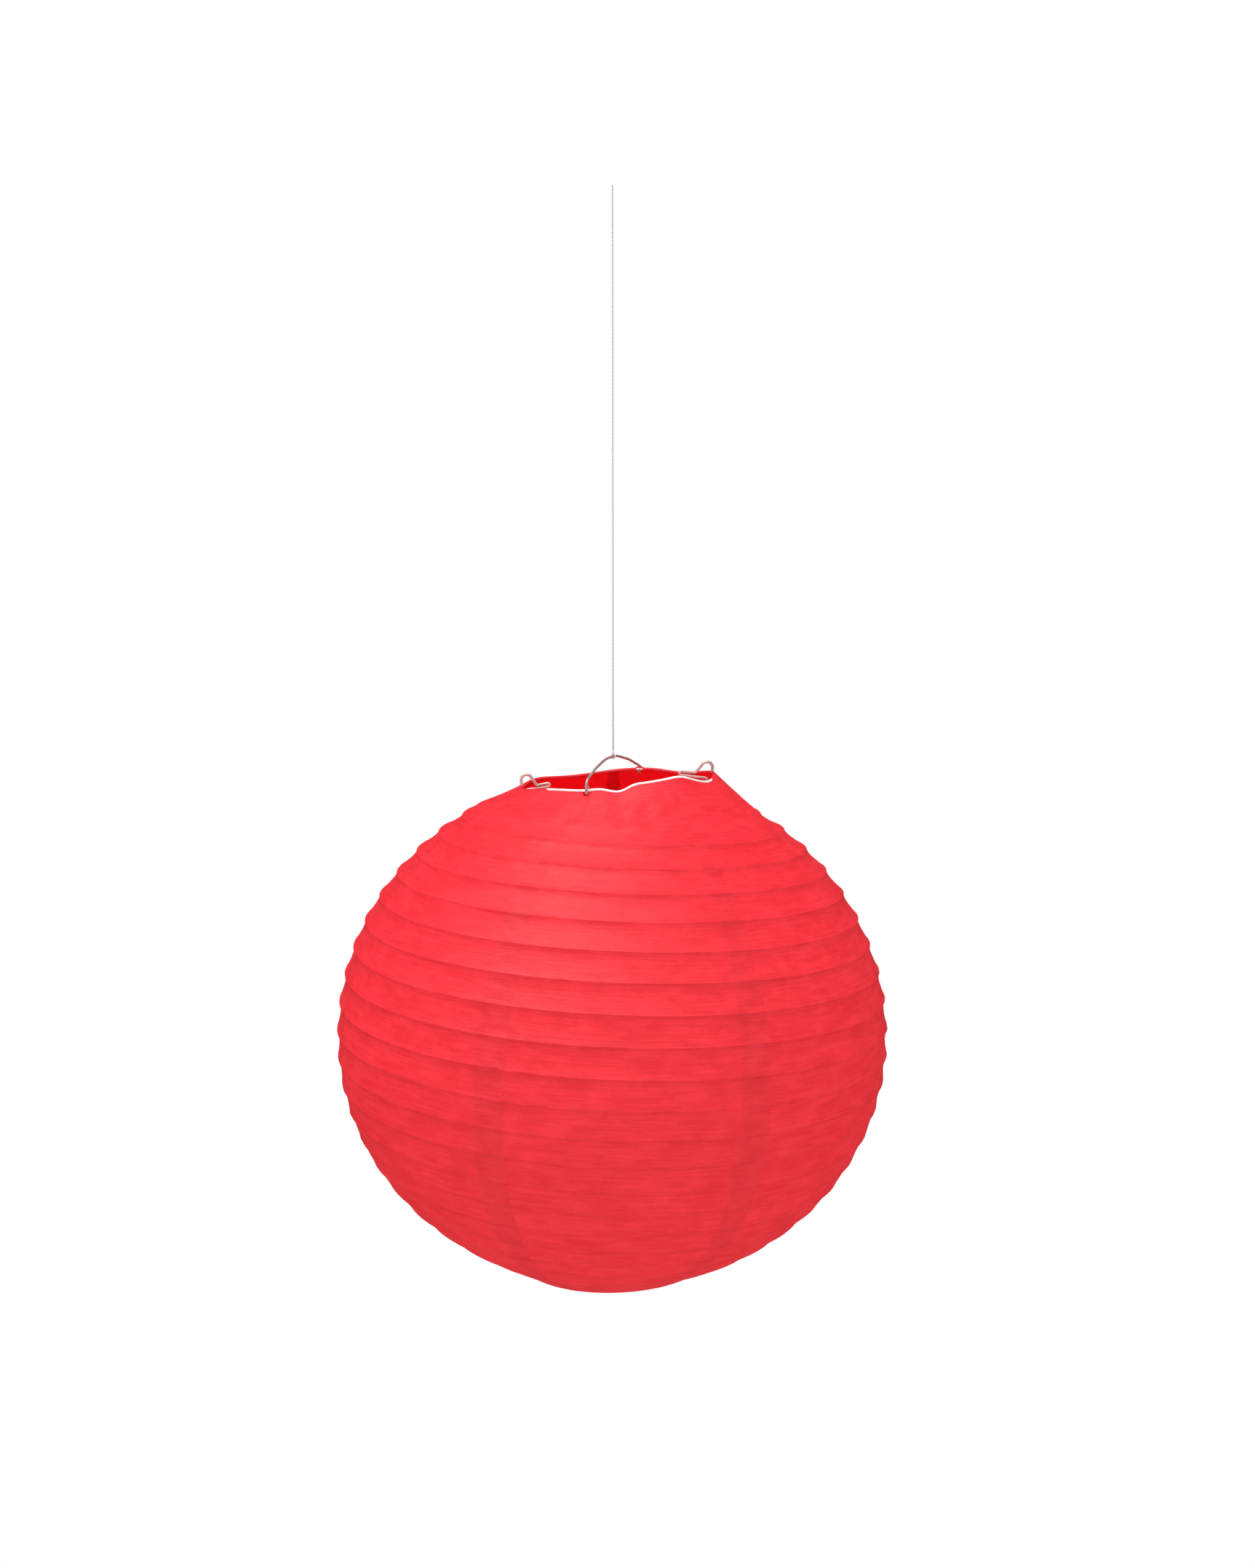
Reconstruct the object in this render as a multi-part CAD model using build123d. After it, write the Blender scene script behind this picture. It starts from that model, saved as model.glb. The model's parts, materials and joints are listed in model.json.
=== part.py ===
from build123d import *
import math
import os

# Hanging paper lantern: seven glued paper gores over one coiled rib wire, a wire
# ring at each open end, a sprung U-shaped expander between the rings, a wire bail
# hooked over the top ring, and the string that the lantern hangs from.
#
# Units are millimetres. +Z is up and the front faces -Y. The origin is the top end
# of the string, where it is held. Azimuths are in degrees from the front (-Y)
# towards the right (+X).

# --- driving dimensions -----------------------------------------------------
BODY_RADIUS = 120.65          # outer paper surface at the equator (241.3 across)
TOP_HALF_HEIGHT = 115.0       # from the equator to the upper half's pole
BOTTOM_HALF_HEIGHT = 109.5    # the lower half is a little flatter
BODY_CENTRE_Z = -363.0        # below the top end of the string
BODY_LEAN = 1.5               # degrees, the rib coil leans to the right at its top
PAPER_THICKNESS = 0.3
COLLAR_LATITUDE = 59.42       # parametric; the ribs end and the ribless collar begins

GORE_COUNT = 7
FIRST_SEAM = 27.7             # azimuth of the seam at the front right
GORE_GAP = 0.1                # between neighbouring gores

RIB_WIRE_DIAMETER = 0.7
RIB_GAP = 0.35                # between the paper and the rib wire
RIB_HALF_TURNS = 39
RIB_TOP_LATITUDE = 59.0       # parametric latitude of the coil's first end
RIB_STEP = 3.05               # parametric latitude lost in each half turn

RING_RADIUS = 42.3            # centre line of the ring wire
RING_WIRE_DIAMETER = 1.2
COLLAR_EDGE_RADIUS = 45.2     # outer paper edge, clear of the bail's eyes
COLLAR_EDGE_DROP = 1.1        # how far that edge stops short of the ring's plane
TOP_RING_CENTRE = (2.3, 2.0, 110.4)       # from the body's centre
TOP_RING_TILT = 4.5                       # degrees, right side up
BOTTOM_RING_CENTRE = (1.0, 0.0, -103.8)
BOTTOM_RING_TILT = 1.5

BAIL_WIRE_DIAMETER = 1.1
BAIL_TURN = 15.6              # degrees, the bail's plane from front-to-back
BAIL_OFFSET = 1.3             # the bail's plane passes this far left of the ring's centre
BAIL_EYE_RADIUS = 1.65        # centre line of the eye that each foot ends in
BAIL_EYE_ARC = 255.0          # degrees that each eye curls round the ring
BAIL_FRONT_LIFT = 2.2         # the front eye sits this far above the ring's plane
BAIL_SLOPE = 14.5             # degrees, the back of the arch down to its eye
BAIL_CROWN = ((-14.0, 10.5), (2.0, 10.35))   # the flattest part of the arch
BAIL_TIE_AT = -2.5            # where the string is tied, along the bail from its middle

EXPANDER_WIRE_DIAMETER = 1.3
EXPANDER_LEFT_X = -37.8
EXPANDER_RIGHT_X = 41.5
EXPANDER_Y = 2.0

STRING_DIAMETER = 0.7
LOOP_STRING_DIAMETER = 0.5    # the string is pulled thinner where it turns round the bail
KNOT_DIAMETER = 1.3
KNOT_HEIGHT = 1.3
TIE_GAP = 0.15                # between the bail wire and the string round it

# --- values worked out from them -------------------------------------------
CENTRE = Vector(0, 0, BODY_CENTRE_Z)
TOP_RING = CENTRE + Vector(*TOP_RING_CENTRE)
BOTTOM_RING = CENTRE + Vector(*BOTTOM_RING_CENTRE)
RING_WIRE_RADIUS = RING_WIRE_DIAMETER / 2
BAIL_WIRE_RADIUS = BAIL_WIRE_DIAMETER / 2
EXPANDER_WIRE_RADIUS = EXPANDER_WIRE_DIAMETER / 2
GORE_ANGLE = 360 / GORE_COUNT
SHADE = Location(CENTRE) * Location((0, 0, 0), (0, BODY_LEAN, 0))   # the leaning frame


def ring_point(centre, tilt, azimuth, radius, lift=0.0):
    """A point on a circle about a ring's centre, in the ring's tilted plane."""
    turn = math.radians(azimuth)
    x = radius * math.sin(turn)
    y = -radius * math.cos(turn)
    z = x * math.tan(math.radians(tilt)) + lift
    return centre + Vector(x, y, z)


def ring_plane(centre, tilt):
    """The tilted plane that a ring lies in, with its normal upwards."""
    lean = math.radians(tilt)
    return Plane(
        origin=centre,
        x_dir=(math.cos(lean), 0, math.sin(lean)),
        z_dir=(-math.sin(lean), 0, math.cos(lean)),
    )


def wire_along(path, diameter):
    """A round wire of the given diameter along a path."""
    section = Plane(origin=path @ 0, z_dir=path % 0) * Circle(diameter / 2)
    return sweep(section, path=path)


# --- the shade: paper gores --------------------------------------------------
def half_height(side):
    """The body's half height above the equator, where side is 1, or below, where it is -1."""
    return TOP_HALF_HEIGHT if side > 0 else BOTTOM_HALF_HEIGHT


def collar_height(side):
    """Where a collar begins, measured from the equator."""
    return side * half_height(side) * math.sin(math.radians(COLLAR_LATITUDE))


def body_radius_at(z, side, inset=0.0):
    """The body's radius at a height from its equator."""
    half = half_height(side) - inset
    return (BODY_RADIUS - inset) * math.sqrt(1 - (z / half) ** 2)


def seam_azimuths(number):
    """Where a gore starts and how many degrees it spans."""
    half_gap = math.degrees(GORE_GAP / 2 / BODY_RADIUS)
    return FIRST_SEAM + number * GORE_ANGLE + half_gap, GORE_ANGLE - 2 * half_gap


def body_segment(first, span):
    """The ribbed part of a gore: the paper's section turned from seam to seam."""

    def quarter(side, inset):
        half = half_height(side) - inset
        cut = math.degrees(math.asin(abs(collar_height(side)) / half))
        return EllipticalCenterArc(
            (0, 0),
            BODY_RADIUS - inset,
            half,
            start_angle=0 if side > 0 else -cut,
            arc_size=cut,
        )

    outer = [quarter(-1, 0), quarter(1, 0)]
    inner = [quarter(-1, PAPER_THICKNESS), quarter(1, PAPER_THICKNESS)]
    ends = [Line(outer[1] @ 1, inner[1] @ 1), Line(inner[0] @ 0, outer[0] @ 0)]
    section = Plane.XZ * make_face([*outer, *inner, *ends])
    segment = revolve(section, axis=Axis.Z, revolution_arc=span)
    return Location((0, 0, 0), (0, 0, first - 90)) * segment


def annular_sector(radius, first, span):
    """A flat strip of paper's thickness inside a radius, from seam to seam."""
    outer = CenterArc((0, 0), radius, first - 90, span)
    inner = CenterArc((0, 0), radius - PAPER_THICKNESS, first - 90, span)
    ends = [Line(outer @ 1, inner @ 1), Line(inner @ 0, outer @ 0)]
    return make_face([outer, inner, *ends])


def collar_segment(side, first, span):
    """The ribless part of a gore beside a ring: side is 1 above, -1 below."""
    centre, tilt = (TOP_RING, TOP_RING_TILT) if side > 0 else (BOTTOM_RING, BOTTOM_RING_TILT)
    height = collar_height(side)
    level = SHADE * Location((0, 0, height))
    edge = ring_plane(centre - Vector(0, 0, side * COLLAR_EDGE_DROP), tilt).location
    outer, inner = (body_radius_at(height, side, inset) for inset in (0, PAPER_THICKNESS))
    arcs = [CenterArc((0, 0), radius, first - 90, span) for radius in (outer, inner)]
    ends = [Line(arcs[0] @ 1, arcs[1] @ 1), Line(arcs[1] @ 0, arcs[0] @ 0)]
    start = level * make_face([*arcs, *ends])
    finish = edge * annular_sector(COLLAR_EDGE_RADIUS, first, span)
    return loft([start, finish], ruled=True)


def paper_gores():
    """The seven gores, numbered from the front right seam round to the right."""
    gores = {}
    for number in range(GORE_COUNT):
        first, span = seam_azimuths(number)
        body = SHADE * body_segment(first, span)
        collars = collar_segment(1, first, span) + collar_segment(-1, first, span)
        gores[f"paper_gore_{number + 1}"] = body + collars
    return gores


# --- the shade: one coiled rib wire ------------------------------------------
def rib_coil():
    """One left-handed coil made of half turns, each a half circle tangent to the next."""
    inset = PAPER_THICKNESS + RIB_GAP + RIB_WIRE_DIAMETER / 2

    def end(step):
        latitude = math.radians(RIB_TOP_LATITUDE - step * RIB_STEP)
        side = 1 if step % 2 == 0 else -1
        x = side * (BODY_RADIUS - inset) * math.cos(latitude)
        return Vector(x, 0, (half_height(latitude) - inset) * math.sin(latitude))

    arcs = []
    for step in range(RIB_HALF_TURNS):
        start, finish = end(step), end(step + 1)
        middle = (start + finish) * 0.5
        outward = 1 if step % 2 == 0 else -1
        crown = middle + Vector(0, outward * (finish - start).length / 2, 0)
        arcs.append(ThreePointArc(start, crown, finish))
    coil = wire_along(Wire(arcs), RIB_WIRE_DIAMETER)
    return SHADE * coil


# --- the rings ----------------------------------------------------------------
def top_ring():
    """The top ring, hand-bent: high in front with a dip, and its right side out of true."""
    bends = [
        (-56, 2.0), (-43, 2.6), (-32, 2.5), (-17, 2.2), (-9, 2.2), (-4, 1.3),
        (0, 0.8), (3.5, 1.3), (9, 3.0), (15, 3.4), (22, 3.6), (30, 3.9),
        (38, 3.9), (44, 2.7), (51, 1.1), (58, -0.2), (68, -1.1), (78, -0.7),
        (90, -0.1), (120, -1.4), (141, -2.0), (155, -0.6), (166, 0.0), (180, 0.0),
        (210, -0.5), (240, 1.2), (270, 0.0), (286, 0.9),
    ]
    points = [
        ring_point(TOP_RING, TOP_RING_TILT, azimuth, RING_RADIUS, lift)
        for azimuth, lift in bends
    ]
    closed = Edge.make_spline(points, periodic=True)
    halves = [closed.trim(0, 0.5), closed.trim(0.5, 1)]
    first, second = (wire_along(half, RING_WIRE_DIAMETER) for half in halves)
    return first + second


def bottom_ring():
    """The bottom ring, flat and round."""
    torus = Torus(RING_RADIUS, RING_WIRE_RADIUS)
    return ring_plane(BOTTOM_RING, BOTTOM_RING_TILT).location * torus


# --- the expander ----------------------------------------------------------
def expander():
    """One bent wire: an ear and a notch at each top end, two legs and a cross bar."""

    def ring_height(centre, tilt, x):
        return centre.Z + (x - centre.X) * math.tan(math.radians(tilt))

    def half(x, ear, feet):
        """Corners from the ear's free end down to the foot, outward and upward of the leg."""
        top = ring_height(TOP_RING, TOP_RING_TILT, x)
        foot = ring_height(BOTTOM_RING, BOTTOM_RING_TILT, x)
        outward = math.copysign(1, x)
        steps = [(o, top + rise) for o, rise in ear]
        steps += [(0.0, foot - 1.6), (feet, foot - 1.6), (feet, foot - 3.4)]
        return [(x + outward * o, z) for o, z in steps]

    left = half(
        EXPANDER_LEFT_X,
        [(1.9, 1.6), (2.1, 6.3), (-1.6, 6.3), (-4.9, 1.5), (-10.3, 2.6), (-10.3, 0.95), (0, -0.45)],
        3.6,
    )
    right = half(
        EXPANDER_RIGHT_X,
        [(2.2, 1.4), (2.6, 5.6), (-1.2, 5.6), (-5.0, 0.9), (-12.0, 1.5), (-12.0, -0.15), (0, -1.6)],
        2.6,
    )
    corners = left + right[::-1]
    fillets = [2.3, 2.2, 1.2, 0.75, 0.75, 1.0, 0.8, 0.85, 0.85]
    path = rounded_path(corners, fillets + fillets[::-1])
    flat = Plane(origin=(0, EXPANDER_Y, 0), x_dir=(1, 0, 0), z_dir=(0, -1, 0))
    return wire_along(flat * path, EXPANDER_WIRE_DIAMETER)


def rounded_path(corners, fillets):
    """A line through the corners, each inner corner rounded to its own radius."""
    edges = []
    start = Vector(*corners[0])
    for index, radius in enumerate(fillets, start=1):
        before, corner, after = (Vector(*corners[index + i]) for i in (-1, 0, 1))
        into = (corner - before).normalized()
        out = (after - corner).normalized()
        turn = math.radians(into.get_angle(out))
        reach = radius * math.tan(turn / 2)
        first = corner - into * reach
        last = corner + out * reach
        inward = (out - into).normalized()
        crown = corner + inward * (radius / math.cos(turn / 2) - radius)
        edges.append(Line(start, first))
        edges.append(ThreePointArc(first, crown, last))
        start = last
    edges.append(Line(start, Vector(*corners[-1])))
    return Wire(edges)


# --- the bail -----------------------------------------------------------------
def bail_frame():
    """The bail's own plane: x along it from front to back, y up, origin midway."""
    turn = math.radians(BAIL_TURN)
    along = Vector(math.sin(turn), math.cos(turn), 0)
    across = Vector(math.cos(turn), -math.sin(turn), 0)
    half = math.sqrt(RING_RADIUS**2 - BAIL_OFFSET**2)
    middle = TOP_RING - across * BAIL_OFFSET
    rise = math.tan(math.radians(TOP_RING_TILT))
    front = middle - along * half
    back = middle + along * half
    lift = (front.X - TOP_RING.X) * rise + BAIL_FRONT_LIFT
    front = Vector(front.X, front.Y, TOP_RING.Z + lift)
    back = Vector(back.X, back.Y, TOP_RING.Z + (back.X - TOP_RING.X) * rise)
    plane = Plane(origin=(front + back) * 0.5, x_dir=back - front, z_dir=across)
    return plane, (back - front).length / 2


def hanging_bail():
    """The bail: an eye round the ring at each foot and a lopsided arch between."""
    plane, half = bail_frame()
    slope = math.radians(BAIL_SLOPE)
    landing_turn = 90 - math.degrees(slope)
    landing = Vector(
        half + BAIL_EYE_RADIUS * math.cos(math.radians(landing_turn)),
        BAIL_EYE_RADIUS * math.sin(math.radians(landing_turn)),
    )
    shoulder_x = 23.5
    shoulder = Vector(shoulder_x, landing.Y + (landing.X - shoulder_x) * math.tan(slope))
    rise_x = -half - BAIL_EYE_RADIUS
    corners = [(rise_x, 0), (rise_x, 4.2), (-30, 7.9), *BAIL_CROWN]
    corners += [(shoulder.X, shoulder.Y), (landing.X, landing.Y)]
    arch = rounded_path(corners, [4, 60, 60, 60, 90])
    front_eye = CenterArc((-half, 0), BAIL_EYE_RADIUS, 180 + BAIL_EYE_ARC, -BAIL_EYE_ARC)
    back_eye = CenterArc((half, 0), BAIL_EYE_RADIUS, landing_turn, -BAIL_EYE_ARC)
    path = Wire([front_eye, *arch.edges(), back_eye])
    return wire_along(plane * path, BAIL_WIRE_DIAMETER)


# --- the string ---------------------------------------------------------------
def tie_point():
    """Where the string goes round the bail: the middle of the bail's wire."""
    plane, half = bail_frame()
    (first_x, first_y), (last_x, last_y) = BAIL_CROWN
    height = first_y + (BAIL_TIE_AT - first_x) * (last_y - first_y) / (last_x - first_x)
    return plane.from_local_coords(Vector(BAIL_TIE_AT, height, 0)), plane.x_dir


def string_parts():
    """The straight string, its knot, and its loop round the bail."""
    tie, along = tie_point()
    loop_radius = BAIL_WIRE_RADIUS + TIE_GAP + LOOP_STRING_DIAMETER / 2
    loop = Plane(origin=tie, z_dir=along).location * Torus(loop_radius, LOOP_STRING_DIAMETER / 2)
    knot_z = tie.Z + loop_radius + LOOP_STRING_DIAMETER / 2 + KNOT_HEIGHT / 2
    knot_body = Cylinder(KNOT_DIAMETER / 2, KNOT_HEIGHT)
    knot = Pos(tie.X, tie.Y, knot_z) * fillet(knot_body.edges(), 0.35)
    run_bottom = knot_z + KNOT_HEIGHT / 2
    run = Pos(tie.X, tie.Y, run_bottom / 2) * Cylinder(STRING_DIAMETER / 2, -run_bottom)
    return {"string": run, "string_knot": knot, "string_loop": loop}


parts = {
    **string_parts(),
    "hanging_bail": hanging_bail(),
    "top_ring": top_ring(),
    "bottom_ring": bottom_ring(),
    "expander": expander(),
    "rib_coil": rib_coil(),
    **paper_gores(),
}

os.makedirs("parts", exist_ok=True)
for node, shape in parts.items():
    export_step(shape, f"parts/{node}.step")
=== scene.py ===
"""The looks of a round paper lantern that hangs from a string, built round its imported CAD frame.

Lengths are in metres and azimuths in degrees from the front (-Y) towards the right (+X).
"""

import json
import logging
import math
from dataclasses import dataclass, field
from enum import Enum
from typing import Any, Sequence, Union

import bpy
import numpy as np
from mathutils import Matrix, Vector, noise


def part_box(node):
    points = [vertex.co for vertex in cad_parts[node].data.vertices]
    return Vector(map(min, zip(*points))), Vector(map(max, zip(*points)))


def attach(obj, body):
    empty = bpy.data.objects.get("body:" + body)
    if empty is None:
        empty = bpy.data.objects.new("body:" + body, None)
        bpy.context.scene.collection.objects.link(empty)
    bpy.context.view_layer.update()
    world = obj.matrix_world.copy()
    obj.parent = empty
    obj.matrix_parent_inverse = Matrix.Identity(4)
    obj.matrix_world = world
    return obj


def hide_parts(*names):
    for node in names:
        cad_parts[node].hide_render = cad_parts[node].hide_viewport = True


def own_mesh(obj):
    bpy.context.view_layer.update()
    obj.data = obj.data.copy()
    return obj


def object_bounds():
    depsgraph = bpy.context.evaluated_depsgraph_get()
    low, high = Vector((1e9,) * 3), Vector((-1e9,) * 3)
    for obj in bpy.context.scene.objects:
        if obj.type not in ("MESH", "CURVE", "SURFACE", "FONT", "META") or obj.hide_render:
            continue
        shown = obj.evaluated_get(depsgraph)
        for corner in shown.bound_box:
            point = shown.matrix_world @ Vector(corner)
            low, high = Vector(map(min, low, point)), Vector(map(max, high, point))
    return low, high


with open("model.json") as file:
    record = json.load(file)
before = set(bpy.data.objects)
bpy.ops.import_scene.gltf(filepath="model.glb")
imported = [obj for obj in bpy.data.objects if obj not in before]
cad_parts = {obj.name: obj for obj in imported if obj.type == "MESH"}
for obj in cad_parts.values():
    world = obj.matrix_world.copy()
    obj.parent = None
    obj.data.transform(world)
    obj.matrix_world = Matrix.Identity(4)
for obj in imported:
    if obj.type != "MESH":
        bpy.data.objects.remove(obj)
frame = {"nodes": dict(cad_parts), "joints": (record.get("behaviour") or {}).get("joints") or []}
CAD_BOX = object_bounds()

log = logging.getLogger("lantern")
logging.basicConfig(level=logging.INFO, format="%(name)s: %(message)s")

MM = 0.001

Number = Union[int, float]
Array = np.ndarray


# --------------------------------------------------------------------------
# Shader expressions
# --------------------------------------------------------------------------
class Value:
    """A shader socket that takes part in Python expressions, each adding a Math node."""

    def __init__(self, sheet: "NodeSheet", socket: bpy.types.NodeSocket) -> None:
        """Wraps one output socket of a node sheet.

        Args:
            sheet: The node sheet that the socket belongs to.
            socket: The output socket.
        """
        self.sheet = sheet
        self.socket = socket

    def _math(self, operation: str, *terms: "Term") -> "Value":
        """Adds one Math node of an operation on these terms."""
        return self.sheet.node("ShaderNodeMath", {"operation": operation}, dict(enumerate(terms)))

    def __add__(self, other: "Term") -> "Value":
        """The sum."""
        return self._math("ADD", self, other)

    def __radd__(self, other: "Term") -> "Value":
        """The sum, from the right."""
        return self._math("ADD", other, self)

    def __mul__(self, other: "Term") -> "Value":
        """The product."""
        return self._math("MULTIPLY", self, other)

    def __rmul__(self, other: "Term") -> "Value":
        """The product, from the right."""
        return self._math("MULTIPLY", other, self)

    def __abs__(self) -> "Value":
        """The size without its sign."""
        return self._math("ABSOLUTE", self)

    def step(self, low: Number, high: Number) -> "Value":
        """A smooth step from 0 at low to 1 at high."""
        return self.sheet.node(
            "ShaderNodeMapRange",
            {"interpolation_type": "SMOOTHSTEP"},
            {"Value": self, "From Min": low, "From Max": high},
        )


Term = Union[Value, int, float]
Colour = tuple[float, float, float]


class NodeSheet:
    """A material being written: it makes nodes, and hands their outputs back as values."""

    def __init__(self, name: str) -> None:
        """Starts an empty material.

        Args:
            name: The material's name.
        """
        self.material = bpy.data.materials.new(name)
        self.material.use_nodes = True
        self.tree = self.material.node_tree
        self.tree.nodes.clear()

    def node(
        self,
        kind: str,
        settings: dict[str, Any] | None = None,
        inputs: dict[Any, Any] | None = None,
        output: Any = 0,
    ) -> Value:
        """Adds one node.

        Args:
            kind: The node's type.
            settings: Its settings, set before its sockets.
            inputs: Values or links of its sockets, by name or number.
            output: The output socket to hand back, by name or number.

        Returns:
            The chosen output.
        """
        made = self.tree.nodes.new(kind)
        for key, setting in (settings or {}).items():
            setattr(made, key, setting)
        for key, term in (inputs or {}).items():
            if isinstance(term, Value):
                self.tree.links.new(term.socket, made.inputs[key])
            else:
                made.inputs[key].default_value = term
        return Value(self, made.outputs[output])

    def coordinates(self, source: str) -> Value:
        """A texture coordinate, such as "Object" or "UV"."""
        return self.node("ShaderNodeTexCoord", output=source)

    def scaled(self, vector: Value, factors: Sequence[float]) -> Value:
        """A vector times three factors."""
        inputs = {0: vector, 1: tuple(factors)}
        return self.node("ShaderNodeVectorMath", {"operation": "MULTIPLY"}, inputs)

    def attribute(self, name: str) -> Value:
        """A number stored on the mesh."""
        return self.node("ShaderNodeAttribute", {"attribute_name": name}, output="Fac")

    def noise(self, vector: Value, scale: float, detail: float = 2.0, rough: float = 0.5) -> Value:
        """A noise from 0 to 1."""
        inputs = {"Vector": vector, "Scale": scale, "Detail": detail, "Roughness": rough}
        return self.node("ShaderNodeTexNoise", inputs=inputs, output="Fac")

    def mix(self, factor: Term, first: Any, second: Any) -> Value:
        """A colour between two colours."""
        first = (*first, 1.0) if isinstance(first, tuple) else first
        second = (*second, 1.0) if isinstance(second, tuple) else second
        inputs = {0: factor, 6: first, 7: second}
        return self.node("ShaderNodeMix", {"data_type": "RGBA"}, inputs, 2)

    def bump(self, height: Value, strength: float, distance: float) -> Value:
        """A bumped normal."""
        inputs = {"Height": height, "Strength": strength, "Distance": distance}
        return self.node("ShaderNodeBump", inputs=inputs, output="Normal")

    def finish(self, inputs: dict[str, Any]) -> bpy.types.Material:
        """Closes the material with a Principled shader.

        Args:
            inputs: The shader's sockets by name; a colour is three numbers.

        Returns:
            The finished material.
        """
        full = {k: (*v, 1.0) if isinstance(v, tuple) else v for k, v in inputs.items()}
        shader = self.node("ShaderNodeBsdfPrincipled", inputs=full)
        self.node_output(shader)
        return self.material

    def node_output(self, shader: Value) -> None:
        """Links a shader to the material's output."""
        made = self.tree.nodes.new("ShaderNodeOutputMaterial")
        self.tree.links.new(shader.socket, made.inputs["Surface"])


# --------------------------------------------------------------------------
# Finishes
# --------------------------------------------------------------------------
@dataclass(frozen=True)
class TissuePaper:
    """Thin dyed tissue: laid grain along the gore, cloudy fibres, and painted shade on the glued
    overlaps.
    """

    # painted shade: the darker red given to the overlaps stands for two paper layers letting less
    # light through
    overlap_shade: Colour = (0.70, 0.004, 0.020)
    base: Colour = (0.82, 0.006, 0.026)
    pale: Colour = (0.97, 0.024, 0.052)
    through: Colour = (0.97, 0.055, 0.090)
    roughness: float = 0.50
    gloss: float = 0.85
    glow: float = 0.46
    overlap_from: float = 0.785
    overlap_blur: float = 0.006
    # painted shade: how far the overlap strips are darkened
    overlap_shade_share: float = 0.08
    cloud_scale: Colour = (0.045, 0.09, 1.0)
    mottle_scale: Colour = (0.11, 0.17, 1.0)
    laid_scale: Colour = (0.055, 0.95, 1.0)
    fibre_scale: Colour = (0.5, 2.4, 1.0)
    contrast: tuple[float, float] = (0.42, 0.59)
    relief: float = 0.75
    relief_depth: float = 0.42 * MM
    uv_span: float = 300.0

    def make(self) -> bpy.types.Material:
        """Builds the material."""
        sheet = NodeSheet("red_tissue_paper")
        flat = sheet.scaled(sheet.coordinates("UV"), (self.uv_span, self.uv_span, 1.0))
        clouds = sheet.noise(sheet.scaled(flat, self.cloud_scale), 1.0, 3.0, 0.6)
        laid = sheet.noise(sheet.scaled(flat, self.laid_scale), 1.0, 3.0, 0.65)
        fibres = sheet.noise(sheet.scaled(flat, self.fibre_scale), 1.0, 4.0, 0.7)
        across = abs(sheet.attribute("across"))
        start, blur = self.overlap_from, self.overlap_blur
        overlap = across.step(start - blur, start + blur)
        mottle = sheet.noise(sheet.scaled(flat, self.mottle_scale), 1.0, 4.0, 0.65)
        tone = 0.22 * clouds + 0.28 * mottle + 0.32 * laid + 0.18 * fibres
        shade = sheet.mix(tone.step(*self.contrast), self.base, self.pale)
        # painted shade: the overlap strips are mixed towards a darker red, for the doubled paper
        # letting less light through
        colour = sheet.mix(overlap * self.overlap_shade_share, shade, self.overlap_shade)
        height = 0.55 * laid + 0.45 * fibres + 0.5 * clouds
        normal = sheet.bump(height, self.relief, self.relief_depth)
        inputs = {
            "Base Color": colour,
            "Roughness": self.roughness,
            "Specular IOR Level": self.gloss,
            "Normal": normal,
        }
        face = sheet.node("ShaderNodeBsdfPrincipled", inputs=inputs)
        lit = sheet.node("ShaderNodeBsdfTranslucent", inputs={"Color": (*self.through, 1.0)})
        inputs = {0: self.glow, 1: face, 2: lit}
        sheet.node_output(sheet.node("ShaderNodeMixShader", inputs=inputs))
        return sheet.material


@dataclass(frozen=True)
class BrightWire:
    """Plated steel wire with fine drawing lines and duller patches."""

    name: str
    bright: Colour
    dull: Colour
    roughness: float = 0.3
    metallic: float = 0.85
    patch_scale: float = 160.0
    line_scale: float = 1800.0
    worn_from: float = 0.42
    worn_to: float = 0.66
    worn_dulling: float = 0.18
    line_dulling: float = 0.08

    def make(self) -> bpy.types.Material:
        """Builds the material."""
        sheet = NodeSheet(self.name)
        place = sheet.coordinates("Object")
        patches = sheet.noise(place, self.patch_scale, 3.0, 0.6)
        lines = sheet.noise(place, self.line_scale, 2.0, 0.6)
        worn = patches.step(self.worn_from, self.worn_to)
        return sheet.finish(
            {
                "Base Color": sheet.mix(worn, self.bright, self.dull),
                "Metallic": self.metallic,
                "Roughness": self.roughness + self.worn_dulling * worn + self.line_dulling * lines,
                "Normal": sheet.bump(lines, 0.2, 0.05 * MM),
            }
        )


class WireLook(Enum):
    """The finishes of the lantern's wires."""

    BRIGHT = BrightWire("bright_wire", (1.0, 0.88, 0.88), (0.90, 0.74, 0.75), 0.42, 0.25)
    BRASSY = BrightWire("brassy_wire", (0.84, 0.68, 0.64), (0.52, 0.38, 0.30), 0.34, 0.5)
    DARK = BrightWire("dark_wire", (0.66, 0.48, 0.47), (0.44, 0.30, 0.31), 0.34, 0.6)
    DRAWN = BrightWire("drawn_wire", (0.55, 0.52, 0.52), (0.40, 0.36, 0.36))


@dataclass(frozen=True)
class SpunCotton:
    """Grey cotton thread, laid from fine plies."""

    name: str = "spun_cotton"
    light: Colour = (0.52, 0.52, 0.52)
    dark: Colour = (0.34, 0.34, 0.34)
    lay_length: float = 1.6 * MM
    fuzz_scale: float = 5200.0
    ply_share: float = 0.55

    def make(self) -> bpy.types.Material:
        """Builds the material."""
        sheet = NodeSheet(self.name)
        place = sheet.coordinates("Object")
        wound = sheet.node("ShaderNodeSeparateXYZ", inputs={0: place}, output="Z")
        phase = wound * (2 * math.pi / self.lay_length)
        ply = sheet.node("ShaderNodeMath", {"operation": "SINE"}, {0: phase})
        plies = 0.5 + 0.5 * ply
        fuzz = sheet.noise(place, self.fuzz_scale, 3.0, 0.6)
        tone = self.ply_share * plies + (1.0 - self.ply_share) * fuzz
        return sheet.finish(
            {
                "Base Color": sheet.mix(tone, self.dark, self.light),
                "Roughness": 0.9,
                "Normal": sheet.bump(tone, 0.5, 0.12 * MM),
            }
        )


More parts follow.
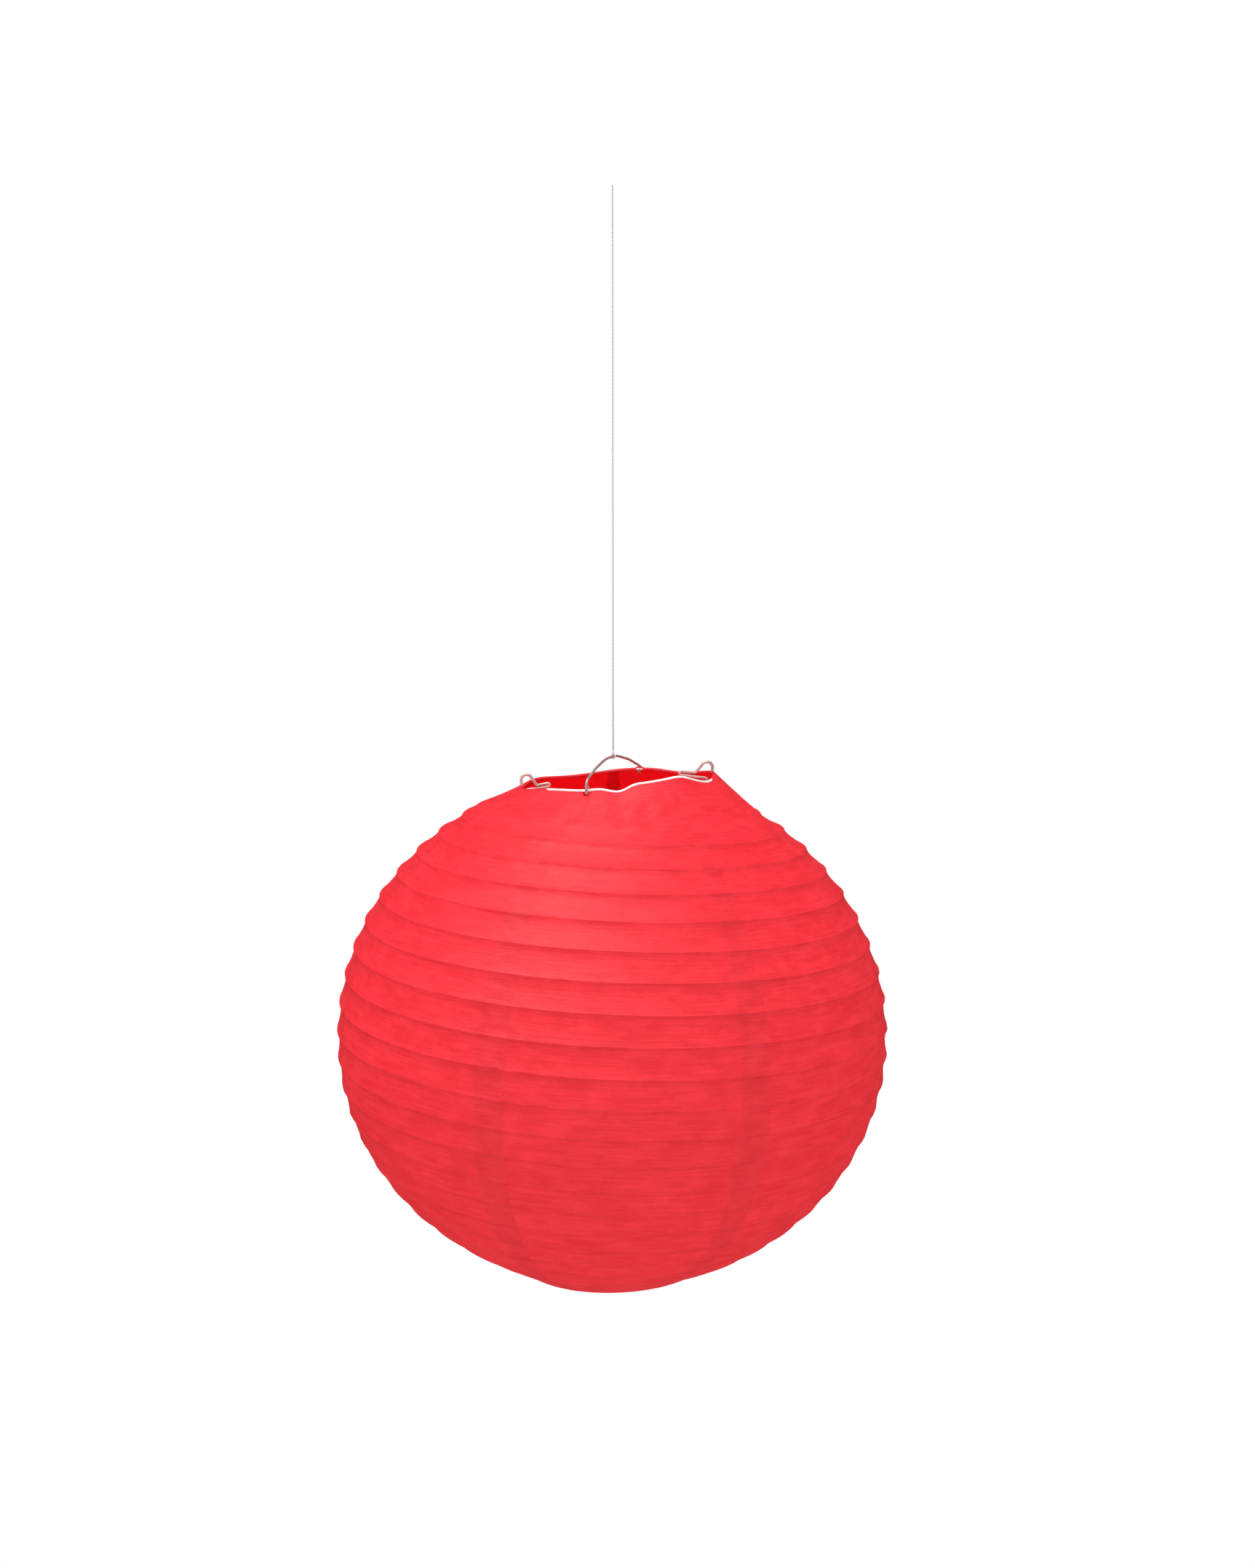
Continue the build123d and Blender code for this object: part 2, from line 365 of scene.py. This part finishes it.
@dataclass(frozen=True)
class PaleFloor:
    """A pale studio floor that is seen as plain white and mirrored only dimly."""

    colour: Colour = (0.93, 0.93, 0.93)
    shade: Colour = (0.91, 0.91, 0.91)
    mottle_scale: float = 3.0
    seen: Colour = (1.0, 1.0, 1.0)
    mirrored: Colour = (0.05, 0.05, 0.05)

    def make(self) -> bpy.types.Material:
        """Builds the material."""
        sheet = NodeSheet("pale_floor")
        mottle = sheet.noise(sheet.coordinates("Object"), self.mottle_scale, 2.0)
        tone = sheet.mix(mottle, self.colour, self.shade)
        inputs = {"Base Color": tone, "Roughness": 0.9, "Specular IOR Level": 0.1}
        face = sheet.node("ShaderNodeBsdfPrincipled", inputs=inputs)
        glow = sheet.node("ShaderNodeEmission", inputs={"Color": (*self.seen, 1.0)})
        seen = sheet.node("ShaderNodeLightPath", output="Is Camera Ray")
        dim = sheet.node("ShaderNodeEmission", inputs={"Color": (*self.mirrored, 1.0)})
        shiny = sheet.node("ShaderNodeLightPath", output="Is Glossy Ray")
        lit = sheet.node("ShaderNodeMixShader", inputs={0: shiny, 1: face, 2: dim})
        sheet.node_output(sheet.node("ShaderNodeMixShader", inputs={0: seen, 1: lit, 2: glow}))
        return sheet.material


# --------------------------------------------------------------------------
# Modelling helpers
# --------------------------------------------------------------------------
def deselect_all() -> None:
    """Leaves object mode's selection empty."""
    if bpy.context.object and bpy.context.object.mode != "OBJECT":
        bpy.ops.object.mode_set(mode="OBJECT")
    bpy.ops.object.select_all(action="DESELECT")


def dress(piece: bpy.types.Object, material: bpy.types.Material) -> None:
    """Gives a piece one material."""
    piece.data.materials.clear()
    piece.data.materials.append(material)


def apply_modifier(piece: bpy.types.Object, kind: str, **settings: Any) -> None:
    """Adds a modifier to a piece and applies it.

    Args:
        piece: The mesh object.
        kind: The modifier's type.
        **settings: The modifier's settings.
    """
    deselect_all()
    bpy.context.view_layer.objects.active = piece
    piece.select_set(True)
    modifier = piece.modifiers.new(kind.lower(), kind)
    for key, setting in settings.items():
        setattr(modifier, key, setting)
    bpy.ops.object.modifier_apply(modifier=modifier.name)


def smooth_step(low: float, high: float, x: Array) -> Array:
    """A smooth step from 0 at low to 1 at high."""
    t = np.clip((np.asarray(x, float) - low) / (high - low), 0.0, 1.0)
    return t * t * (3.0 - 2.0 * t)


def azimuth_gap(first: Array, second: float) -> Array:
    """The turn between azimuths, from -180 to 180 degrees."""
    return (np.asarray(first, float) - second + 180.0) % 360.0 - 180.0


# --------------------------------------------------------------------------
# The lantern's shape
# --------------------------------------------------------------------------
@dataclass
class RingLine:
    """The centre line of a ring's wire, read from its CAD node as a function of azimuth."""

    node: str
    samples: int = 180
    blur: float = 1.6
    least_weight: float = 0.05
    centre: Vector = field(init=False)
    radius: float = field(init=False)
    heights: Array = field(init=False)

    def __post_init__(self) -> None:
        """Reads the wire's middle height round the ring, weighted towards each azimuth."""
        points = np.array([v.co for v in frame["nodes"][self.node].data.vertices], float)
        low, high = points.min(axis=0), points.max(axis=0)
        middle = (low + high) / 2
        self.centre = Vector((middle[0], middle[1], points[:, 2].mean()))
        flat = points[:, :2] - middle[:2]
        reach = np.hypot(flat[:, 0], flat[:, 1])
        self.radius = float((reach.min() + reach.max()) / 2)
        azimuth = np.degrees(np.arctan2(flat[:, 0], -flat[:, 1])) % 360.0
        heights = []
        for number in range(self.samples):
            turn = 360.0 * number / self.samples
            weight = np.exp(-((azimuth_gap(azimuth, turn) / self.blur) ** 2))
            seen = weight.max() > self.least_weight
            heights.append(np.average(points[:, 2], weights=weight) if seen else np.nan)
        known = np.array(heights)
        turns = np.arange(self.samples)
        missing = np.isnan(known)
        known[missing] = np.interp(
            turns[missing], turns[~missing], known[~missing], period=self.samples
        )
        self.heights = known

    def height(self, azimuth: Array) -> Array:
        """The wire's height at these azimuths."""
        place = (np.asarray(azimuth, float) % 360.0) / 360.0 * self.samples
        closed = np.append(self.heights, self.heights[0])
        return np.interp(place, np.arange(self.samples + 1), closed)

    def point(self, azimuth: Array, out: Array, up: Array) -> Array:
        """Points beside the wire.

        Args:
            azimuth: Where along the ring.
            out: How far outwards from the wire's middle.
            up: How far above the wire's middle.

        Returns:
            One point for each azimuth.
        """
        turn = np.radians(azimuth)
        reach = self.radius + out
        x = self.centre.x + reach * np.sin(turn)
        y = self.centre.y - reach * np.cos(turn)
        return np.stack([x, y, self.height(azimuth) + up], axis=-1)


@dataclass
class CoiledBody:
    """The round body: a leaning spheroid and the rib wire's winding round it."""

    radius: float = 120.65 * MM
    top_half: float = 115.0 * MM
    bottom_half: float = 109.5 * MM
    centre: tuple[float, float, float] = (0.0, 0.0, -363.0 * MM)
    lean: float = 1.5
    collar_latitude: float = 59.42
    first_latitude: float = 59.0
    pitch: float = 6.1
    half_turns: int = 39
    first_azimuth: float = 90.0
    least_band: float = 0.05
    clear: float = 0.02

    def surface(self, azimuth: Array, latitude: Array, inset: float = 0.0) -> Array:
        """Points on the smooth body.

        Args:
            azimuth: Azimuths in degrees.
            latitude: Parametric latitudes in degrees.
            inset: How far inside the outer surface.

        Returns:
            One point for each pair.
        """
        turn, rise = np.radians(azimuth), np.radians(latitude)
        half = np.where(rise > 0, self.top_half, self.bottom_half) - inset
        x = (self.radius - inset) * np.cos(rise) * np.sin(turn)
        y = -(self.radius - inset) * np.cos(rise) * np.cos(turn)
        return self._lean(np.stack([x, y, half * np.sin(rise)], axis=-1)) + np.array(self.centre)

    def outward(self, azimuth: Array, latitude: Array) -> Array:
        """Outward unit normals of the smooth body."""
        turn, rise = np.radians(azimuth), np.radians(latitude)
        half = np.where(rise > 0, self.top_half, self.bottom_half)
        x = np.cos(rise) * np.sin(turn) / self.radius
        y = -np.cos(rise) * np.cos(turn) / self.radius
        normal = self._lean(np.stack([x, y, np.sin(rise) / half], axis=-1))
        return normal / np.linalg.norm(normal, axis=-1, keepdims=True)

    def _lean(self, points: Array) -> Array:
        """Leans points about the body's centre, to the right at the top."""
        turn = math.radians(self.lean)
        x = points[..., 0] * math.cos(turn) + points[..., 2] * math.sin(turn)
        z = -points[..., 0] * math.sin(turn) + points[..., 2] * math.cos(turn)
        return np.stack([x, points[..., 1], z], axis=-1)

    def rib_lines(self, azimuth: Array) -> Array:
        """Where the ribs pass behind one gore.

        Args:
            azimuth: The gore's columns, in rising order.

        Returns:
            Rows of latitudes for these columns: the top collar, each rib, the bottom collar.
        """
        middle = float(np.mean(azimuth))
        start = (middle - self.first_azimuth) % 360.0
        turned = (start + (np.asarray(azimuth, float) - middle)) / 360.0
        edge = self.collar_latitude - self.clear
        lines = [np.full_like(turned, self.collar_latitude)]
        for number in range(self.half_turns):
            line = self.first_latitude - self.pitch * (number + turned)
            if line.mean() < -self.collar_latitude + self.least_band:
                break
            lines.append(np.clip(line, -edge, edge))
        lines.append(np.full_like(turned, -self.collar_latitude))
        return np.stack(lines)


# --------------------------------------------------------------------------
# Sub-assemblies
# --------------------------------------------------------------------------
class End(Enum):
    """The shade's ends, with the way out of each along z."""

    TOP = 1
    BOTTOM = -1


@dataclass
class PaperShade:
    """Seven glued gores of tissue, drawn in between the ribs and hemmed over the rings.

    Sags, ridges, swells and notches are in metres, and angles in degrees. The folds' centre, reach,
    pitch and wander length are in millimetres, across and down from the middle of the top ring.
    """

    body: CoiledBody
    top: RingLine
    bottom: RingLine
    count: int = 7
    first_seam: float = 27.7
    overlap: float = 3.1
    columns: int = 72
    rows_per_rib: int = 18
    collar_rows: int = 18
    hem_rows: int = 10
    thickness: float = 0.035 * MM
    lap: float = 0.045 * MM
    wire_gap: float = 0.80 * MM
    sag_high: float = 1.0 * MM
    sag_low: float = 0.42 * MM
    fade: tuple[float, float] = (-32.0, 12.0)
    collar_sag: float = 0.25 * MM
    collar_swell: float = 1.6
    skew: float = 0.72
    fullness: float = 1.8
    ridge: float = 0.16 * MM
    ridge_width: float = 0.075
    broad_swell: float = 0.20 * MM
    fine_swell: float = 0.10 * MM
    pucker: float = 0.34 * MM
    pucker_place: float = 0.892
    pucker_width: float = 0.13
    fold_centre: tuple[float, float] = (16.0, 9.0)
    fold_reach: tuple[float, float] = (22.0, 8.0)
    fold_slant: float = 0.6
    fold_pitch: float = 8.5
    fold_wander: float = 0.9
    fold_wander_length: float = 9.0
    fold_depth: float = 0.42 * MM
    bare_middle: float = 14.0
    bare_half: tuple[float, float] = (56.0, 64.0)
    bare_land: float = -30.0
    bare_wrap: float = 10.0
    rolled_land: float = 56.0
    rolled_wrap: float = 175.0
    eyes: tuple[float, ...] = (-17.3, 166.0)
    notch_half: float = 1.6 * MM
    notch_reach: float = 1.9
    notch_unroll: float = 0.9
    notch_out: float = 0.4 * MM
    notch_drop: float = 0.9 * MM
    lapped: tuple[float, float] = (0.74, 0.80)
    sharp_angle: float = 50.0
    uv_span: float = 0.3

    def ribbed_rows(self, azimuth: Array) -> tuple[Array, Array]:
        """The body rows of one gore, which follow the ribs.

        Args:
            azimuth: The gore's columns.

        Returns:
            Rows of latitudes, and each row's place from one rib to the next, from 0 to 1.
        """
        lines = self.body.rib_lines(azimuth)
        rows, places = [lines[0]], [0.0]
        for upper, lower in zip(lines[:-1], lines[1:]):
            for step in range(1, self.rows_per_rib + 1):
                part = step / self.rows_per_rib
                rows.append(upper + (lower - upper) * part)
                places.append(part % 1.0)
        return np.stack(rows), np.array(places)

    def sag(self, latitude: Array, place: Array) -> Array:
        """How far the paper is drawn in between two ribs.

        Args:
            latitude: The body rows' latitudes.
            place: Each row's place between its ribs.

        Returns:
            Depths below the smooth body.
        """
        spare = self.sag_high - self.sag_low
        depth = self.sag_low + spare * smooth_step(*self.fade, latitude)
        depth[: self.rows_per_rib] = self.collar_sag
        depth[-self.rows_per_rib :] = self.collar_sag
        curve = 1.0 - np.abs(2.0 * place**self.skew - 1.0) ** self.fullness
        ridge = np.exp(-((np.minimum(place, 1.0 - place) / self.ridge_width) ** 2))
        ridge[: self.rows_per_rib] = ridge[-self.rows_per_rib :] = 0.0
        return depth * curve[:, None] - self.ridge * ridge[:, None]

    def crumple(self, points: Array, across: Array) -> Array:
        """Small uneven swells of the paper, with creases beside the glued seams.

        Args:
            points: Points on the smooth body.
            across: Each column's place across the gore from -1 to 1.

        Returns:
            Heights above the smooth body.
        """
        flat = points.reshape(-1, 3)
        beside = (np.abs(across) - self.pucker_place) / self.pucker_width
        edge = np.broadcast_to(np.exp(-(beside**2)), points.shape[:-1])
        heights = np.empty(len(flat))
        for i, ((x, y, z), near) in enumerate(zip(flat, edge.ravel())):
            broad = noise.noise(Vector((x * 26, y * 26, z * 34)))
            fine = noise.noise(Vector((x * 95, y * 95, z * 190)))
            crease = noise.noise(Vector((x * 130, y * 130, z * 260 + x * 90)))
            swell = self.broad_swell * broad + self.fine_swell * fine
            heights[i] = swell + self.pucker * near * crease
        return heights.reshape(points.shape[:-1]) + self.folds(points)

    def folds(self, points: Array) -> Array:
        """Slanting folds below the front of the top ring, where its wire dips.

        Args:
            points: Points on the smooth body.

        Returns:
            Heights above the smooth body.
        """
        x, down = points[..., 0] / MM, (self.top.centre.z - points[..., 2]) / MM
        (centre_x, centre_down), (reach_x, reach_down) = self.fold_centre, self.fold_reach
        near = np.exp(-(((x - centre_x) / reach_x) ** 2) - ((down - centre_down) / reach_down) ** 2)
        near = np.where(points[..., 1] < 0, near, 0.0)
        slant = 2 * math.pi * (self.fold_slant * x + down) / self.fold_pitch
        wander = self.fold_wander * np.sin(x / self.fold_wander_length)
        return self.fold_depth * near * np.sin(slant + wander)

    def hem(self, ring: RingLine, azimuth: Array, end: End) -> tuple[Array, Array]:
        """Where the paper meets a ring: rows that roll over its wire.

        Args:
            ring: The ring's wire.
            azimuth: The columns' azimuths.
            end: The shade's end.

        Returns:
            The rolled rows from the free edge outwards, and the last row's points.
        """
        rolled, notch = np.ones_like(azimuth), np.zeros_like(azimuth)
        if end is End.TOP:
            away = np.abs(azimuth_gap(azimuth, self.bare_middle))
            rolled = smooth_step(*self.bare_half, away)
            for eye in self.eyes:
                away = np.radians(azimuth_gap(azimuth, eye)) * ring.radius / self.notch_half
                notch = np.maximum(notch, np.exp(-(away**4)))
        land = np.radians(self.bare_land + (self.rolled_land - self.bare_land) * rolled)
        wrap = np.radians(self.bare_wrap + (self.rolled_wrap - self.bare_wrap) * rolled)
        rows = []
        for step in range(self.hem_rows + 1):
            left = (1.0 - step / self.hem_rows) * (1.0 - self.notch_unroll * notch)
            angle = land + wrap * left
            reach = self.wire_gap * (1.0 + self.notch_reach * notch)
            out = reach * np.cos(angle) + self.notch_out * notch
            up = end.value * (reach * np.sin(angle) - self.notch_drop * notch)
            rows.append(ring.point(azimuth, out, up))
        return np.stack(rows), rows[-1]

    def gore_points(self, number: int) -> tuple[Array, Array]:
        """The paper's outer face on one gore.

        Args:
            number: The gore's number from 0.

        Returns:
            Rows of columns of points, and each column's place across from -1 to 1.
        """
        pitch = 360.0 / self.count
        middle = self.first_seam + (number + 0.5) * pitch
        across = np.linspace(-1.0, 1.0, self.columns + 1)
        azimuth = middle + across * (pitch / 2 + self.overlap)
        tall, place = self.ribbed_rows(azimuth)
        wide = np.broadcast_to(azimuth, tall.shape)
        smooth = self.body.surface(wide, tall)
        normal = self.body.outward(wide, tall)
        lift = self.crumple(smooth, across) - self.sag(tall, place)
        ribbed = smooth + normal * lift[..., None]
        rows = [ribbed]
        for end, ring in ((End.TOP, self.top), (End.BOTTOM, self.bottom)):
            at_top = end is End.TOP
            rolled, edge = self.hem(ring, azimuth, end)
            start, outward = (ribbed[0], normal[0]) if at_top else (ribbed[-1], normal[-1])
            collar = []
            for step in range(1, self.collar_rows):
                t = step / self.collar_rows
                line = edge * (1 - t) + start * t
                dip = self.collar_sag * math.sin(math.pi * t)
                swell = self.crumple(line, across) * math.sin(math.pi * t) * self.collar_swell
                collar.append(line + outward * (swell - dip)[:, None])
            block = np.concatenate([rolled, np.stack(collar)])
            rows = [block, *rows] if at_top else [*rows, block[::-1]]
        points = np.concatenate(rows)
        return points, across

    def build(self, number: int) -> bpy.types.Object:
        """Models one gore from a flat grid.

        Args:
            number: The gore's number from 0.

        Returns:
            The gore, with its UV map in the cut's own lengths.
        """
        points, across = self.gore_points(number)
        rows, columns = points.shape[:2]
        lapping = self.lap * smooth_step(*self.lapped, across)
        middle = np.array([*self.body.centre])
        outward = points - middle
        outward /= np.linalg.norm(outward, axis=-1, keepdims=True)
        points = points + outward * lapping[None, :, None]
        deselect_all()
        bpy.ops.mesh.primitive_grid_add(
            x_subdivisions=columns - 1, y_subdivisions=rows - 1, size=2.0
        )
        gore = bpy.context.object
        gore.name = gore.data.name = f"gore_{number + 1}"
        mesh = gore.data
        flat = np.empty(len(mesh.vertices) * 3)
        mesh.vertices.foreach_get("co", flat)
        flat = flat.reshape(-1, 3)
        column = np.round((flat[:, 0] + 1) / 2 * (columns - 1)).astype(int)
        row = np.round((1 - flat[:, 1]) / 2 * (rows - 1)).astype(int)
        mesh.vertices.foreach_set("co", points[row, column].ravel())
        steps = np.linalg.norm(np.diff(points[:, columns // 2], axis=0), axis=1)
        down = np.concatenate([[0.0], np.cumsum(steps)])
        reach = np.hypot(points[..., 0] - middle[0], points[..., 1] - middle[1])
        half_turn = math.radians(180.0 / self.count + self.overlap)
        side = 0.5 + across[None, :] * reach * half_turn / self.uv_span
        loops = np.empty(len(mesh.loops), int)
        mesh.loops.foreach_get("vertex_index", loops)
        chart = mesh.uv_layers.active or mesh.uv_layers.new(name="cut")
        places = np.stack([side[row, column], down[row] / self.uv_span], axis=1)
        chart.data.foreach_set("uv", places[loops].ravel())
        mark = mesh.attributes.new("across", "FLOAT", "POINT")
        mark.data.foreach_set("value", across[column].astype(np.float32))
        mesh.update()
        self._face_outwards(gore)
        return gore

    def _face_outwards(self, gore: bpy.types.Object) -> None:
        """Turns the gore's faces away from the lantern's middle."""
        mesh = gore.data
        face = mesh.polygons[len(mesh.polygons) // 2]
        if face.normal.dot(face.center - Vector(self.body.centre)) < 0:
            mesh.flip_normals()

    def assemble(self, paper: bpy.types.Material, anchor: float, keep: float) -> None:
        """Builds and dresses every gore.

        Args:
            paper: The paper's material.
            anchor: The height that the folded shade gathers towards; not used.
            keep: The share of its height that the folded shade keeps; not used.
        """
        for number in range(self.count):
            gore = self.build(number)
            apply_modifier(gore, "SOLIDIFY", thickness=self.thickness, offset=-1.0)
            gore.data.shade_smooth()
            gore.data.set_sharp_from_angle(angle=math.radians(self.sharp_angle))
            dress(gore, paper)
            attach(gore, "shade")
            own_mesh(gore)
            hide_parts(f"paper_gore_{number + 1}")


@dataclass
class RibWinding:
    """The long rib wire, coiled left-handed inside the paper."""

    body: CoiledBody
    diameter: float = 0.7 * MM
    inset: float = 1.0 * MM
    points_per_half_turn: int = 30

    def build(self) -> bpy.types.Object:
        """Models the coil as a bevelled line and makes it a mesh."""
        deselect_all()
        steps = self.body.half_turns * self.points_per_half_turn
        turned = np.linspace(0.0, 180.0 * self.body.half_turns, steps + 1)
        latitude = self.body.first_latitude - self.body.pitch * turned / 360.0
        azimuth = self.body.first_azimuth + turned
        points = self.body.surface(azimuth, latitude, self.inset)
        line = bpy.data.curves.new("rib_winding", "CURVE")
        line.dimensions = "3D"
        line.bevel_depth = self.diameter / 2
        line.bevel_resolution = 2
        line.use_fill_caps = True
        spline = line.splines.new("POLY")
        spline.points.add(len(points) - 1)
        spline.points.foreach_set("co", np.hstack([points, np.ones((len(points), 1))]).ravel())
        coil = bpy.data.objects.new("rib_winding", line)
        bpy.context.collection.objects.link(coil)
        bpy.context.view_layer.objects.active = coil
        coil.select_set(True)
        bpy.ops.object.convert(target="MESH")
        return bpy.context.object

    def assemble(self, wire: bpy.types.Material, anchor: float, keep: float) -> None:
        """Builds and dresses the coil.

        Args:
            wire: The wire's material.
            anchor: The height that the folded shade gathers towards; not used.
            keep: The share of its height that the folded shade keeps; not used.
        """
        coil = self.build()
        coil.data.shade_smooth()
        dress(coil, wire)
        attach(coil, "shade")
        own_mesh(coil)
        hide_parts("rib_coil")
        log.info("%s: %d faces", coil.name, len(coil.data.polygons))


@dataclass
class HangingString:
    """The taut string from its held end down to the knot over the bail."""

    diameter: float = 0.7 * MM
    points: int = 9

    def assemble(self, cotton: bpy.types.Material, pale: bpy.types.Material) -> None:
        """Builds the string and dresses its knot and loop.

        Args:
            cotton: The string's material.
            pale: The material of its knot and loop.
        """
        low, high = (Vector(corner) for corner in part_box("string"))
        x, y = (low.x + high.x) / 2, (low.y + high.y) / 2
        line = bpy.data.curves.new("hanging_string", "CURVE")
        line.dimensions = "3D"
        spline = line.splines.new("NURBS")
        spline.points.add(self.points - 1)
        for number, point in enumerate(spline.points):
            height = low.z + (high.z - low.z) * number / (self.points - 1)
            point.co = (x, y, height, 1.0)
        spline.order_u = 3
        spline.use_endpoint_u = True
        line.bevel_depth = self.diameter / 2
        line.bevel_resolution = 4
        line.use_fill_caps = True
        string = bpy.data.objects.new("hanging_string", line)
        bpy.context.collection.objects.link(string)
        dress(string, cotton)
        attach(string, "hanger")
        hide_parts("string")
        ties = [frame["nodes"][name] for name in ("string_knot", "string_loop")]
        for tie in ties:
            dress(tie, pale)
        log.info("%s: %.0f mm long", string.name, (high.z - low.z) / MM)


@dataclass
class WireWork:
    """The bare wires that keep their CAD shapes: rings, bail and expander."""

    def assemble(self, finishes: dict[str, bpy.types.Material]) -> None:
        """Dresses each wire.

        Args:
            finishes: The material for each CAD node.
        """
        for name, material in finishes.items():
            wire = frame["nodes"][name]
            dress(wire, material)
            wire.data.shade_smooth()
            log.info("%s: dressed", name)


@dataclass
class Studio:
    """The floor, the soft light and the camera."""

    distance: float = 832.5 * MM
    elevation: float = 14.5
    pitch: float = -6.99
    yaw: float = 0.475
    lens: float = 42.7
    floor_depth: float = 1.1
    floor_side: float = 60.0
    backdrop: float = 1.02
    ambient: float = 1.27
    mirrored: float = 0.06
    key_place: tuple[float, float, float] = (-0.55, -0.42, 2.05)
    key_side: float = 1.3
    key_power: float = 27.5

    def floor(self) -> None:
        """Lays a wide pale floor well under the lantern."""
        deselect_all()
        level = CAD_BOX[0][2] - self.floor_depth
        bpy.ops.mesh.primitive_plane_add(size=self.floor_side, location=(0.0, 0.0, level))
        ground = bpy.context.object
        ground.name = ground.data.name = "studio_floor"
        bpy.ops.object.transform_apply(location=True, rotation=True, scale=True)
        dress(ground, PaleFloor().make())

    def sky(self) -> None:
        """Surrounds the scene with an even white wall that lights it more softly than it shows."""
        world = bpy.data.worlds.new("white_studio")
        bpy.context.scene.world = world
        world.use_nodes = True
        tree = world.node_tree
        background = tree.nodes["Background"]
        background.inputs["Color"].default_value = (1.0, 1.0, 1.0, 1.0)
        path = tree.nodes.new("ShaderNodeLightPath")
        lit = tree.nodes.new("ShaderNodeMix")
        lit.inputs[2].default_value, lit.inputs[3].default_value = self.ambient, self.mirrored
        tree.links.new(path.outputs["Is Glossy Ray"], lit.inputs[0])
        shown = tree.nodes.new("ShaderNodeMix")
        shown.inputs[3].default_value = self.backdrop
        tree.links.new(path.outputs["Is Camera Ray"], shown.inputs[0])
        tree.links.new(lit.outputs[0], shown.inputs[2])
        tree.links.new(shown.outputs[0], background.inputs["Strength"])

    def lamp(self, name: str, place: Vector, aim: Vector, size: float, power: float) -> None:
        """Adds one soft square lamp.

        Args:
            name: The lamp's name.
            place: Where it stands.
            aim: The point that it faces.
            size: The length of its side.
            power: Its power in watts.
        """
        light = bpy.data.lights.new(name, "AREA")
        light.size = size
        light.energy = power
        holder = bpy.data.objects.new(name, light)
        bpy.context.collection.objects.link(holder)
        holder.location = place
        holder.rotation_euler = (aim - place).to_track_quat("-Z", "Y").to_euler()

    def camera(self, centre: Vector) -> None:
        """Sets the camera up in front of the lantern and a little above it."""
        rise = math.radians(self.elevation)
        place = centre + Vector((0.0, -math.cos(rise), math.sin(rise))) * self.distance
        lens = bpy.data.cameras.new("camera")
        lens.lens = self.lens
        lens.sensor_width = 36.0
        lens.clip_end = 200.0
        eye = bpy.data.objects.new("camera", lens)
        bpy.context.collection.objects.link(eye)
        eye.location = place
        eye.rotation_euler = (math.radians(90.0 + self.pitch), 0.0, -math.radians(self.yaw))
        bpy.context.scene.camera = eye

    def assemble(self, centre: Vector) -> None:
        """Sets the whole studio up round the lantern's centre."""
        self.floor()
        self.sky()
        place = centre + Vector(self.key_place)
        self.lamp("key", place, centre, self.key_side, self.key_power)
        self.camera(centre)
        bpy.context.scene.view_settings.view_transform = "Standard"
        bpy.context.scene.view_settings.look = "None"


def main() -> None:
    """Builds the lantern's looks and the studio."""
    body = CoiledBody()
    top, bottom = RingLine("top_ring"), RingLine("bottom_ring")
    fold = next(joint for joint in frame["joints"] if joint["name"] == "collapse")
    anchor = float(top.centre.z)
    height = anchor - float(bottom.centre.z)
    keep = (height - fold["range_m"][1]) / height
    PaperShade(body, top, bottom).assemble(TissuePaper().make(), anchor, keep)
    RibWinding(body).assemble(WireLook.DRAWN.value.make(), anchor, keep)
    bright_wire = WireLook.BRIGHT.value.make()
    WireWork().assemble(
        {
            "top_ring": bright_wire,
            "bottom_ring": bright_wire,
            "expander": WireLook.BRASSY.value.make(),
            "hanging_bail": WireLook.DARK.value.make(),
        }
    )
    frayed = SpunCotton("frayed_cotton", (0.80, 0.79, 0.78), (0.60, 0.58, 0.57))
    HangingString().assemble(SpunCotton().make(), frayed.make())
    Studio().assemble(Vector(body.centre))


if __name__ == "__main__":
    main()
